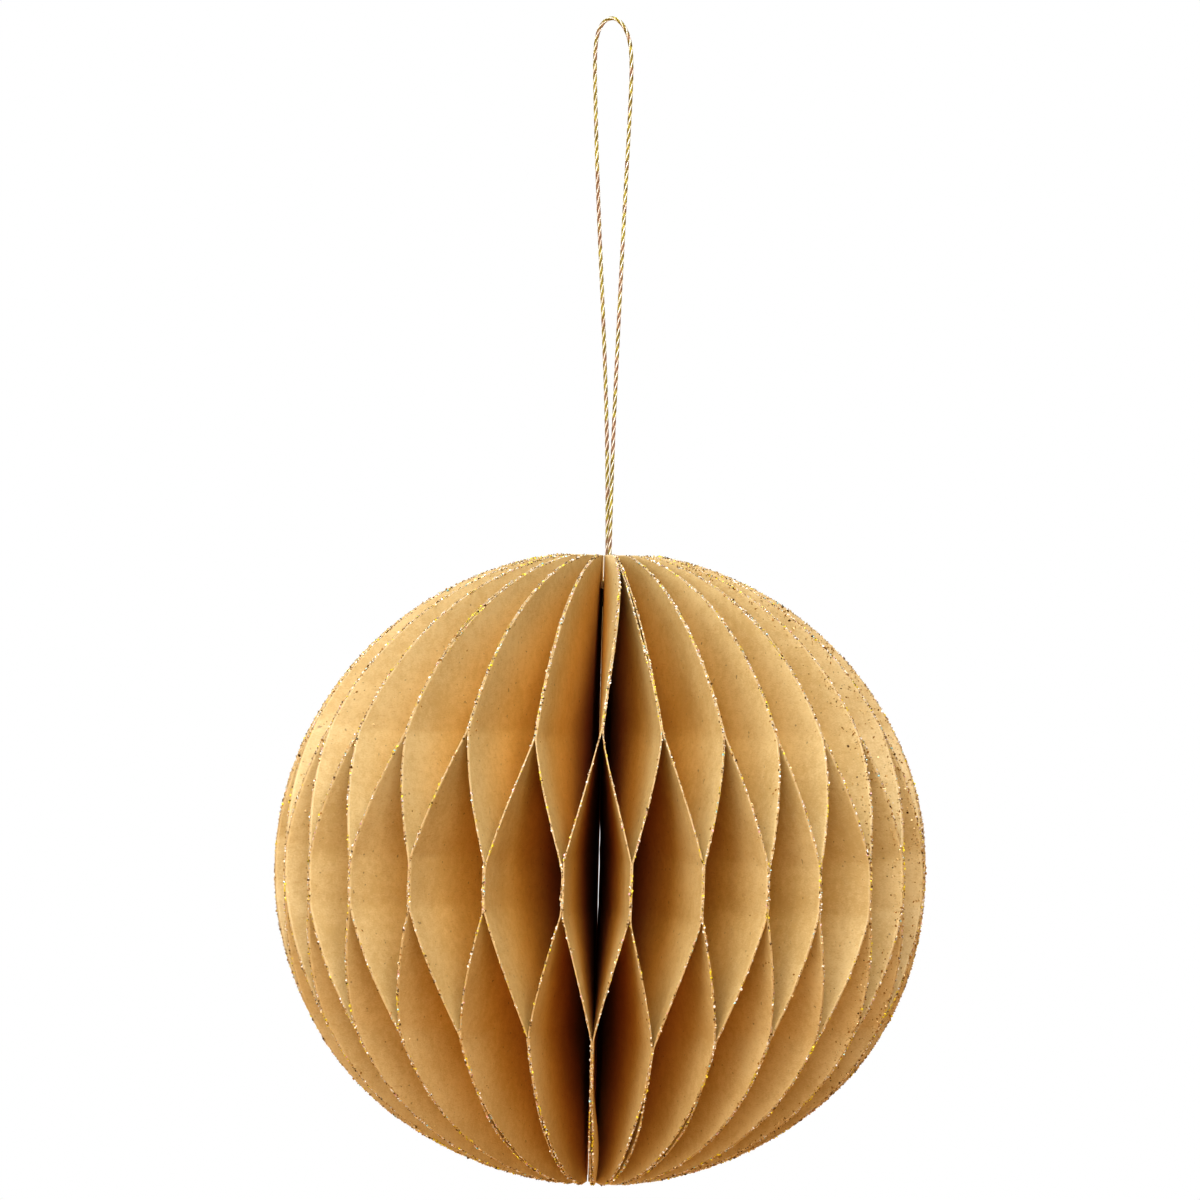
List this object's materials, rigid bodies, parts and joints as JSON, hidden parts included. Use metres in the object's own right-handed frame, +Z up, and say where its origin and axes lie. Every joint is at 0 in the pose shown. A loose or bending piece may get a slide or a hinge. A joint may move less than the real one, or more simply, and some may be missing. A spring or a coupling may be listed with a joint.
{
  "type": "honeycomb paper ball ornament",
  "caption": "Hanging honeycomb ball of half-round kraft paper leaves with glitter edges, on a loop of twisted gold cord.",
  "frame": {"origin": "inside top of the cord loop, where a hook or branch holds it", "axes": "+Z up along the hang, -Y straight ahead, +X to the right"},
  "size_m": [0.0799, 0.0798, 0.1437],
  "materials": {
    "kraft_paper": "matt mottled kraft paper with glitter glued along the outer edge",
    "gold_cord": "twisted metallic gold thread",
    "card": "plain grey-brown card"
  },
  "bodies": {
    "root": {"leaf_01": "kraft_paper", "leaf_02": "kraft_paper", "leaf_03": "kraft_paper", "leaf_04": "kraft_paper", "leaf_05": "kraft_paper", "leaf_06": "kraft_paper", "leaf_07": "kraft_paper", "leaf_08": "kraft_paper", "leaf_09": "kraft_paper", "leaf_10": "kraft_paper", "leaf_11": "kraft_paper", "leaf_12": "kraft_paper", "leaf_13": "kraft_paper", "leaf_14": "kraft_paper", "leaf_15": "kraft_paper", "leaf_16": "kraft_paper", "leaf_17": "kraft_paper", "leaf_18": "kraft_paper", "leaf_19": "kraft_paper", "leaf_20": "kraft_paper", "leaf_21": "kraft_paper", "leaf_22": "kraft_paper", "leaf_23": "kraft_paper", "leaf_24": "kraft_paper", "leaf_25": "kraft_paper", "leaf_26": "kraft_paper", "leaf_27": "kraft_paper", "leaf_28": "kraft_paper", "leaf_29": "kraft_paper", "leaf_30": "kraft_paper", "leaf_31": "kraft_paper", "leaf_32": "kraft_paper", "leaf_33": "kraft_paper", "leaf_34": "kraft_paper", "leaf_35": "kraft_paper", "leaf_36": "kraft_paper", "leaf_37": "kraft_paper", "leaf_38": "kraft_paper", "leaf_39": "kraft_paper", "leaf_40": "kraft_paper", "leaf_41": "kraft_paper", "leaf_42": "kraft_paper", "leaf_43": "kraft_paper", "leaf_44": "kraft_paper", "leaf_45": "kraft_paper", "leaf_46": "kraft_paper", "leaf_47": "kraft_paper", "leaf_48": "kraft_paper", "leaf_49": "kraft_paper", "leaf_50": "kraft_paper", "leaf_51": "kraft_paper", "leaf_52": "kraft_paper", "leaf_53": "kraft_paper", "leaf_54": "kraft_paper", "leaf_55": "kraft_paper", "leaf_56": "kraft_paper", "hanging_cord": "gold_cord", "cord_knot": "gold_cord", "card_washer": "card"}
  },
  "joints": []
}
